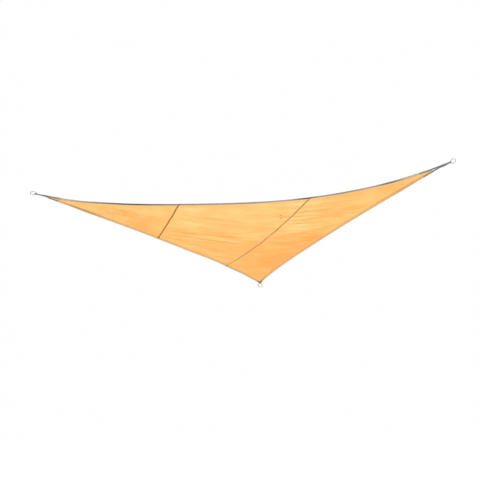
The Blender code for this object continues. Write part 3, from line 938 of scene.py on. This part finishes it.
# The webbing's section along its top: shares of its half width, and of its half thickness there.
SECTION = ((-1.0, 0.40), (-0.94, 0.95), (-0.5, 1.0), (0.0, 1.0), (0.5, 1.0), (0.94, 0.95), (1.0, 0.40))

WEBBING_DARK = (0.25, 0.25, 0.26, 1)
WEBBING_PALE = (0.36, 0.36, 0.365, 1)
WEBBING_SOIL = (0.36, 0.31, 0.26, 1)
WEBBING_RIB = 0.0024
WEBBING_COURSE = 0.0018
WEBBING_SLANT = 0.7
WEBBING_ROUGHNESS = (0.85, 0.62)
SELVEDGE = (0.0126, 0.0144)
SELVEDGE_SHARE = 0.5


def corner_frame(name, distance, side=0.0):
    """A point of the hung surface near a corner, with the ways along, sideways and up there."""
    axis = corner_axis(name)
    place = PLAN_CORNERS[name] + axis * distance + left_of(axis) * side
    ahead = hang(place + axis * CORNER_SLOPE_REACH, settled=False)[0]
    along = unit(ahead - hang(place, settled=False)[0])
    up = surface_normals(place)[0]
    return hang(place)[0], along, np.cross(up, along), up


def turned(sideways, up, degrees):
    """The sideways and up directions after a turn about the way along."""
    angle = math.radians(degrees)
    across = math.cos(angle) * sideways + math.sin(angle) * up
    over = -math.sin(angle) * sideways + math.cos(angle) * up
    return across, over


def leg_stations(name):
    """Distances from the corner point along a strap, and its two legs' sideways places there."""
    corner = CORNERS[name]
    axis = corner_axis(name)
    off_cloth = np.linspace(corner.reach, corner.tip, OFF_CLOTH_STEPS, endpoint=False)
    on_cloth = np.linspace(corner.tip, corner.legs, ON_CLOTH_STEPS)
    run = (off_cloth - corner.reach) / (corner.tip - corner.reach)
    legs = []
    for hem in corner.hems:
        middle = edge_points(hem, np.linspace(0, 1, CURVE_SAMPLES), LEG_INSET) - PLAN_CORNERS[name]
        order = np.argsort(middle @ axis)
        sides = np.interp(on_cloth, (middle @ axis)[order], (middle @ left_of(axis))[order])
        legs.append(np.concatenate([run * sides[0], sides]))
    return np.concatenate([off_cloth, on_cloth]), legs


def leg_heights(name, distance, apart):
    """Heights of a strap's two legs off the hung surface, where they are so far apart sideways."""
    corner = CORNERS[name]
    stacked = 1 - smooth_step((apart - STRAP_WIDTH) / STRAP_PARTING)
    half_way = stacked * (STRAP_THICKNESS + GAP) / 2
    closed = smooth_step((distance - corner.reach) / STRAP_CLOSING)
    half_way = half_way * closed + STRAP_LOOP_RADIUS * (1 - closed)
    past_ring = corner.reach + RING_WIRE_RADIUS
    lifted = smooth_step((distance - past_ring) / (corner.tip - STRAP_THICKNESS - past_ring))
    middle = lifted * (HEM_THICKNESS / 2 + GAP + STRAP_THICKNESS / 2 + half_way)
    return middle - half_way, middle + half_way


def strap_path(name):
    """A strap's centre points, outer sides and widths: up one hem, round the ring, and back."""
    corner = CORNERS[name]
    distances, (first_leg, second_leg) = leg_stations(name)
    throat_end = max(corner.reach + STRAP_THROAT_LENGTH, corner.tip)
    ways = ([], [])
    for distance, first, second in zip(distances, first_leg, second_leg):
        heights = leg_heights(name, distance, abs(first - second))
        run = (corner.tip - distance) / (corner.tip - corner.reach)
        twist = corner.twist * smooth_step((run - TWIST_START) / (1 - TWIST_START))
        gathered = smooth_step((throat_end - distance) / (throat_end - corner.reach))
        width = STRAP_WIDTH + (STRAP_THROAT - STRAP_WIDTH) * gathered
        for way, side, height, outer in zip(ways, (first, second), heights, (-1, 1)):
            point, _, sideways, up = corner_frame(name, distance, side)
            _, over = turned(sideways, up, twist)
            way.append((point + over * height, outer * over, width))
    held, along, sideways, up = corner_frame(name, corner.reach)
    _, over = turned(sideways, up, corner.twist)
    bend = []
    for step in range(1, LOOP_STEPS):
        angle = math.pi * step / LOOP_STEPS
        away = -over * math.cos(angle) - along * math.sin(angle)
        bend.append((held + away * STRAP_LOOP_RADIUS, away, STRAP_THROAT))
    return ways[0][::-1] + bend + ways[1]


def tube_faces(stations, around, ring=False):
    """Faces round a run of stations with so many points each, closed to a ring or capped."""
    faces = []
    for station in range(stations if ring else stations - 1):
        near, far = around * station, around * ((station + 1) % stations)
        for place in range(around):
            following = (place + 1) % around
            faces.append((near + place, near + following, far + following, far + place))
    if not ring:
        last = around * (stations - 1)
        faces += [tuple(range(around))[::-1], tuple(range(last, last + around))]
    return faces


def corner_strap(name, material):
    centres, outers, widths = (np.array(column) for column in zip(*strap_path(name)))
    acrosses = unit(np.cross(np.gradient(centres, axis=0), outers))
    lengths = np.linalg.norm(np.diff(centres, axis=0), axis=1)
    runs = np.concatenate([[0.0], np.cumsum(lengths)])
    around = list(SECTION) + [(share, -depth) for share, depth in reversed(SECTION)]
    points, places = [], []
    for centre, outer, across, width, run in zip(centres, outers, acrosses, widths, runs):
        for share, depth in around:
            wide = across * width / 2 * share
            points.append(centre + wide + outer * STRAP_THICKNESS / 2 * depth)
            places.append((share * STRAP_WIDTH / 2, run))
    faces = tube_faces(len(centres), len(around))
    strap = made_piece(f"strap_{name}_webbing", points, faces, material, sharp_from=60)
    lay_map(strap.data, "weave", places)
    return strap


def webbing_material():
    """Dark grey woven webbing, paler along its edges and dusty in places."""
    material, tree, lit = new_material("grey woven webbing")
    weave_map = mapped(tree, "weave")
    sizes = {"Rib_width": WEBBING_RIB, "Stitch_length": WEBBING_COURSE, "Slant": WEBBING_SLANT}
    weave = place_group(tree, RIBS, weave_map, **sizes)["Height"]
    colour = blend(tree, weave, WEBBING_DARK, WEBBING_PALE)
    from_middle = reckon(tree, "ABSOLUTE", axes_of(tree, weave_map)["X"])
    colour = blend(
        tree, spread(tree, from_middle, *SELVEDGE, 0.0, SELVEDGE_SHARE), colour, WEBBING_PALE)
    dusty = place_group(tree, SOILING, object_place(tree), Scale=22.0, Amount=0.35)["Mask"]
    fill_all(tree, lit, {
        "Base Color": blend(tree, dusty, colour, WEBBING_SOIL),
        "Roughness": spread(tree, weave, 0.0, 1.0, *WEBBING_ROUGHNESS),
        "Specular IOR Level": 0.35,
        "Normal": raised(tree, weave, distance=0.0004, strength=0.7),
    })
    return material


webbing = webbing_material()
strap_pieces = {}
for name in CORNERS:
    strap = corner_strap(name, webbing)
    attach(strap, "root")
    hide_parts(f"strap_{name}")
    strap_pieces[name] = strap

# ---------------------------------------------------------------------------------------------
# The corner rings: round steel wire, bent to a circle and welded where its ends meet. The two
# front rings stand in line with their straps, and the far one hangs down from its strap.
RING_RADIUS = 0.031
RING_STEPS = 96
WIRE_STEPS = 16
WELD_TURN = 150
WELD_SPREAD = 7.0
WELD_SWELL = 0.14

STEEL_BRIGHT = (0.47, 0.475, 0.48, 1)
STEEL_DULL = (0.30, 0.30, 0.295, 1)
STEEL_ROUGHNESS = (0.34, 0.55)
DRAWING_MARKS = 900.0


def corner_ring(name, material):
    corner = CORNERS[name]
    held, along, sideways, up = corner_frame(name, corner.reach)
    across, over = turned(sideways, up, corner.twist)
    droop = math.radians(corner.droop)
    outward = -math.cos(droop) * along - math.sin(droop) * over
    centre = held + outward * RING_RADIUS
    square = np.cross(across, outward)
    points = []
    for step in range(RING_STEPS):
        angle = math.tau * step / RING_STEPS
        radial = math.cos(angle) * outward + math.sin(angle) * across
        from_weld = (math.degrees(angle) - WELD_TURN) / WELD_SPREAD
        wire = RING_WIRE_RADIUS * (1 + WELD_SWELL * math.exp(-from_weld * from_weld))
        for turn in range(WIRE_STEPS):
            about = math.tau * turn / WIRE_STEPS
            section = math.cos(about) * radial + math.sin(about) * square
            points.append(centre + radial * RING_RADIUS + section * wire)
    faces = tube_faces(RING_STEPS, WIRE_STEPS, ring=True)
    return made_piece(f"ring_{name}_wire", points, faces, material, sharp_from=80)


def steel_material():
    """Satin steel wire with fine drawing marks and a duller, dusty bloom."""
    material, tree, lit = new_material("satin steel wire")
    place = object_place(tree)
    bloom = place_group(tree, SOILING, place, Scale=60.0, Amount=0.8)["Mask"]
    marks = clouds(tree, place, DRAWING_MARKS, detail=2.0)
    fill_all(tree, lit, {
        "Base Color": blend(tree, bloom, STEEL_BRIGHT, STEEL_DULL),
        "Roughness": spread(tree, bloom, 0.0, 1.0, *STEEL_ROUGHNESS),
        "Metallic": 0.9,
        "Normal": raised(tree, marks, distance=0.0001, strength=0.25),
    })
    return material


steel = steel_material()
for name in CORNERS:
    ring = corner_ring(name, steel)
    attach(ring, "root")
    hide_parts(f"ring_{name}")

# ---------------------------------------------------------------------------------------------
# The sewing: brown bonded thread. Two rows run along every hem and two along every seam, on both
# faces, and each leg of a strap is sewn to its hem down both sides and with a cross between.
HEM_ROWS = (0.006, 0.040)
SEAM_ROWS = (-0.008, 0.008)
LEG_ROW = 0.011
LEG_ROW_START = 0.012
LEG_CROSS_SHARE = 0.9
SEAM_ROW_START = 0.004
ROW_SPACING = 0.010
STITCH_PITCH = 0.0066
STITCH_LENGTH = 0.0052
THREAD_THICKNESS = 0.0009
THREAD_SUNK = 0.45
THREAD_SIDES = 3
STITCH_STEPS = 3
CAST_HEIGHT = 0.04
THREAD_COLOUR = (0.30, 0.19, 0.11, 1)
THREAD_PALE = (0.42, 0.28, 0.17, 1)


def stitch_tree():
    """Stitches in rows along a wire's edges, turned to the way up that the wire carries."""
    tree = bpy.data.node_groups.new("rows of stitches", "GeometryNodeTree")
    kinds = {"Rows": "Geometry", "Pitch": "Float", "Stitch length": "Float"}
    kinds |= {"Thread thickness": "Float", "Thread": "Material"}
    for label, kind in kinds.items():
        tree.interface.new_socket(label, in_out="INPUT", socket_type="NodeSocket" + kind)
    tree.interface.new_socket("Stitches", in_out="OUTPUT", socket_type="NodeSocketGeometry")
    given = tree.nodes.new("NodeGroupInput").outputs
    length, thickness = given["Stitch length"], given["Thread thickness"]

    curve = add(tree, "GeometryNodeMeshToCurve", {"Mesh": given["Rows"]}).outputs["Curve"]
    sockets = {"Curve": curve, "Length": given["Pitch"]}
    evened = add(tree, "GeometryNodeResampleCurve", sockets, mode="LENGTH").outputs["Curve"]

    sunk = reckon(tree, "MULTIPLY", thickness, -THREAD_SUNK)
    sockets = {"Resolution": STITCH_STEPS}
    for label, share, height in (("Start", -0.5, sunk), ("Middle", 0.0, thickness), ("End", 0.5, sunk)):
        reach = reckon(tree, "MULTIPLY", length, share)
        place = add(tree, "ShaderNodeCombineXYZ", {"X": reach, "Z": height})
        sockets[label] = place.outputs[0]
    bow = add(tree, "GeometryNodeCurveQuadraticBezier", sockets).outputs["Curve"]
    sockets = {"Resolution": THREAD_SIDES, "Radius": reckon(tree, "MULTIPLY", thickness, 0.5)}
    section = add(tree, "GeometryNodeCurvePrimitiveCircle", sockets).outputs["Curve"]
    sockets = {"Curve": bow, "Profile Curve": section, "Fill Caps": True}
    stitch = add(tree, "GeometryNodeCurveToMesh", sockets).outputs["Mesh"]

    up = add(tree, "GeometryNodeInputNamedAttribute", data_type="FLOAT_VECTOR")
    up.inputs["Name"].default_value = "way_up"
    along = tree.nodes.new("GeometryNodeInputTangent").outputs["Tangent"]
    sockets = {"Primary Axis": up.outputs["Attribute"], "Secondary Axis": along}
    turn = add(tree, "FunctionNodeAxesToRotation", sockets, primary_axis="Z", secondary_axis="X")
    sockets = {"Points": evened, "Instance": stitch, "Rotation": turn.outputs["Rotation"]}
    set_out = add(tree, "GeometryNodeInstanceOnPoints", sockets).outputs["Instances"]
    real = add(tree, "GeometryNodeRealizeInstances", {"Geometry": set_out}).outputs["Geometry"]
    coloured = add(tree, "GeometryNodeSetMaterial", {"Geometry": real, "Material": given["Thread"]})
    add(tree, "NodeGroupOutput", {"Stitches": coloured.outputs["Geometry"]})
    return tree


def thread_material():
    """Brown bonded thread, faded in places."""
    material, tree, lit = new_material("brown sewing thread")
    faded_thread = place_group(tree, SOILING, object_place(tree), Scale=9.0, Amount=0.8)["Mask"]
    colour = blend(tree, faded_thread, THREAD_COLOUR, THREAD_PALE)
    fill_all(tree, lit, {"Base Color": colour, "Roughness": 0.6})
    return material


def surface_finder(piece):
    mesh = piece.data
    corners = [vertex.co for vertex in mesh.vertices]
    return BVHTree.FromPolygons(corners, [tuple(face.vertices) for face in mesh.polygons])


def cast_row(finder, row, face):
    """Places where a row of plan points meets a piece, from above (face 1) or below (-1)."""
    if len(row) < 2:
        return []
    ups = surface_normals(row) * face
    starts = hang(row) + ups * CAST_HEIGHT
    found = []
    for start, up in zip(starts, ups):
        hit, normal, _, _ = finder.ray_cast(Vector(start), Vector(-up), 2 * CAST_HEIGHT)
        found.append(None if hit is None else (tuple(hit), tuple(normal)))
    return found


def unbroken(found):
    """The stretches of a row between its misses."""
    stretch = []
    for place in list(found) + [None]:
        if place is not None:
            stretch.append(place)
        elif stretch:
            if len(stretch) > 1:
                yield stretch
            stretch = []


STITCH_TREE = stitch_tree()
thread = thread_material()


def sewn_rows(name, stretches):
    """One plain mesh of stitches along the given stretches of places."""
    points, ways_up, steps = [], [], []
    for stretch in stretches:
        first = len(points)
        points += [place for place, _ in stretch]
        ways_up += [way_up for _, way_up in stretch]
        steps += [(index, index + 1) for index in range(first, len(points) - 1)]
    mesh = bpy.data.meshes.new(name + "_rows")
    mesh.from_pydata(points, steps, [])
    layer = mesh.attributes.new("way_up", "FLOAT_VECTOR", "POINT")
    layer.data.foreach_set("vector", np.asarray(ways_up, np.float32).ravel())
    sewn = put_in_scene(name, mesh)
    modifier = sewn.modifiers.new("stitches", "NODES")
    modifier.node_group = STITCH_TREE
    values = {"Pitch": STITCH_PITCH, "Stitch length": STITCH_LENGTH}
    values |= {"Thread thickness": THREAD_THICKNESS, "Thread": thread}
    for item in STITCH_TREE.interface.items_tree:
        if item.name in values:
            modifier[item.identifier] = values[item.name]
    sewn.update_tag()
    graph = bpy.context.evaluated_depsgraph_get()
    made = bpy.data.meshes.new_from_object(sewn.evaluated_get(graph))
    sewn.modifiers.remove(modifier)
    sewn.data = made
    made.name = name
    made.shade_smooth()
    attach(sewn, "root")
    return sewn


def hem_stretches(panel, finder):
    """The rows along a panel's own hems, on both faces, clear of the legs of the straps on top."""
    for name in EDGES:
        first, last = edge_span(name)
        shares = np.linspace(first, last, round((last - first) * SIDE / ROW_SPACING))
        for inset in HEM_ROWS:
            row = edge_points(name, shares, inset)
            away = [seam_place(row, seam)[0] for seam in SEAMS]
            own = {
                "panel_left": away[0] < 0,
                "panel_middle": (away[0] > 0) & (away[1] < 0),
                "panel_right": away[1] > 0,
            }[panel]
            under_leg = np.zeros(len(row), bool)
            for corner_name, corner in CORNERS.items():
                reach = (row - PLAN_CORNERS[corner_name]) @ corner_axis(corner_name)
                under_leg |= reach < corner.legs + ROW_SPACING
            for face, kept in ((1, own & ~under_leg), (-1, own)):
                yield from unbroken(cast_row(finder, row[kept], face))


def seam_stretches(seam, over, under):
    for distance in SEAM_ROWS:
        row = seam_line(seam, distance, ROW_SPACING)
        row = row[edge_distance(row) > SEAM_ROW_START]
        yield from unbroken(cast_row(over, row, 1))
        yield from unbroken(cast_row(under, row, -1))


def leg_stretches(name, finder):
    """The rows down both sides of each leg of a strap, and the cross between them."""
    distances, legs = leg_stations(name)
    on_cloth = distances > CORNERS[name].tip + LEG_ROW_START
    axis = corner_axis(name)
    for leg in legs:
        reach, side = distances[on_cloth][:-1], leg[on_cloth][:-1]
        side_row = np.full(len(reach), LEG_ROW)
        crossing = np.linspace(-LEG_ROW, LEG_ROW, len(reach)) * LEG_CROSS_SHARE
        for offset in (-side_row, side_row, crossing, -crossing):
            row = PLAN_CORNERS[name] + axis * reach[:, None]
            row = row + left_of(axis) * (side + offset)[:, None]
            yield from unbroken(cast_row(finder, row, 1))


finders = {name: surface_finder(piece) for name, piece in cloth_pieces.items()}
sewing = {name: list(hem_stretches(name, finder)) for name, finder in finders.items()}
sewing["panel_middle"] += seam_stretches(SEAMS[0], finders["panel_middle"], finders["panel_left"])
sewing["panel_right"] += seam_stretches(SEAMS[1], finders["panel_right"], finders["panel_middle"])
for name, stretches in sewing.items():
    sewn_rows(name + "_stitches", stretches)

for name, strap in strap_pieces.items():
    sewn_rows(f"strap_{name}_stitches", leg_stretches(name, surface_finder(strap)))

# ---------------------------------------------------------------------------------------------
# The floor, the light and the camera: a pale floor well below, soft light that comes through the
# cloth from above, and the viewpoint below the sail and in front of its long edge.
CAMERA_PLACE = Vector((3.2586, -12.6905, -2.8377))
CAMERA_YAW = -0.0612
CAMERA_PITCH = math.radians(10)
CAMERA_LENS = 82.5
CAMERA_SENSOR = 36.0
CAMERA_REACH = 400
FLOOR_LEVEL = -3.62
FLOOR_REACH = 60.0
FLOOR_COLOUR = (0.93, 0.93, 0.93, 1)
WORLD_ABOVE = (1.15, 1.15, 1.15, 1)
WORLD_BELOW = (0.60, 0.60, 0.60, 1)
WORLD_SEEN = (1.0, 0.996, 1.0, 1)
HORIZON = (-0.35, 0.45)
SUN_STRENGTH = 3.6
SUN_AZIMUTH = math.radians(12)
SUN_HEIGHT = math.radians(48)
SUN_SPREAD = math.radians(12)
SUN_COLOUR = (1.0, 0.985, 0.955)

floor_mesh = bpy.data.meshes.new("floor")
ends = ((-1, -1), (1, -1), (1, 1), (-1, 1))
floor_points = [(x * FLOOR_REACH, y * FLOOR_REACH, FLOOR_LEVEL) for x, y in ends]
floor_mesh.from_pydata(floor_points, [], [(0, 1, 2, 3)])
floor = put_in_scene("floor", floor_mesh)
floor_paint, tree, matt = new_material("pale floor")
fill_all(tree, matt, {"Base Color": FLOOR_COLOUR, "Roughness": 0.9})
# The floor is clear from beneath, so that it hides nothing from a low viewpoint.
beneath = tree.nodes.new("ShaderNodeNewGeometry").outputs["Backfacing"]
finish_with(tree, beneath, matt, tree.nodes.new("ShaderNodeBsdfTransparent"))
floor_mesh.materials.append(floor_paint)
floor.visible_diffuse = False
floor.visible_glossy = False
floor.visible_transmission = False

world = bpy.data.worlds.new("studio")
bpy.context.scene.world = world
world.use_nodes = True
tree = world.node_tree
tree.nodes.clear()
upward = axes_of(tree, tree.nodes.new("ShaderNodeTexCoord").outputs["Generated"])["Z"]
sky = blend(tree, spread(tree, upward, *HORIZON), WORLD_BELOW, WORLD_ABOVE)
soft = add(tree, "ShaderNodeBackground", {"Color": sky}).outputs[0]
seen = add(tree, "ShaderNodeBackground", {"Color": WORLD_SEEN}).outputs[0]
camera_ray = tree.nodes.new("ShaderNodeLightPath").outputs["Is Camera Ray"]
choice = add(tree, "ShaderNodeMixShader", {0: camera_ray, 1: soft, 2: seen}).outputs[0]
add(tree, "ShaderNodeOutputWorld", {"Surface": choice})


def way_at(turn, lift):
    """The direction at a turn to the right of straight back, lifted off the level."""
    level = math.cos(lift)
    return Vector((math.sin(turn) * level, math.cos(turn) * level, math.sin(lift)))


lamp = bpy.data.lights.new("sky light", "SUN")
lamp.energy = SUN_STRENGTH
lamp.angle = SUN_SPREAD
lamp.color = SUN_COLOUR
sun = put_in_scene("sky light", lamp)
sun.rotation_euler = way_at(SUN_AZIMUTH, SUN_HEIGHT).to_track_quat("Z", "Y").to_euler()

forward = way_at(CAMERA_YAW, CAMERA_PITCH)
rightward = Vector((math.cos(CAMERA_YAW), -math.sin(CAMERA_YAW), 0))
upright = rightward.cross(forward)
eye = bpy.data.cameras.new("camera")
eye.lens = CAMERA_LENS
eye.sensor_width = CAMERA_SENSOR
eye.clip_end = CAMERA_REACH
camera = put_in_scene("camera", eye)
camera.matrix_world = Matrix((
    (rightward.x, upright.x, -forward.x, CAMERA_PLACE.x),
    (rightward.y, upright.y, -forward.y, CAMERA_PLACE.y),
    (rightward.z, upright.z, -forward.z, CAMERA_PLACE.z),
    (0, 0, 0, 1),
))
bpy.context.scene.camera = camera
bpy.context.scene.view_settings.view_transform = "Standard"
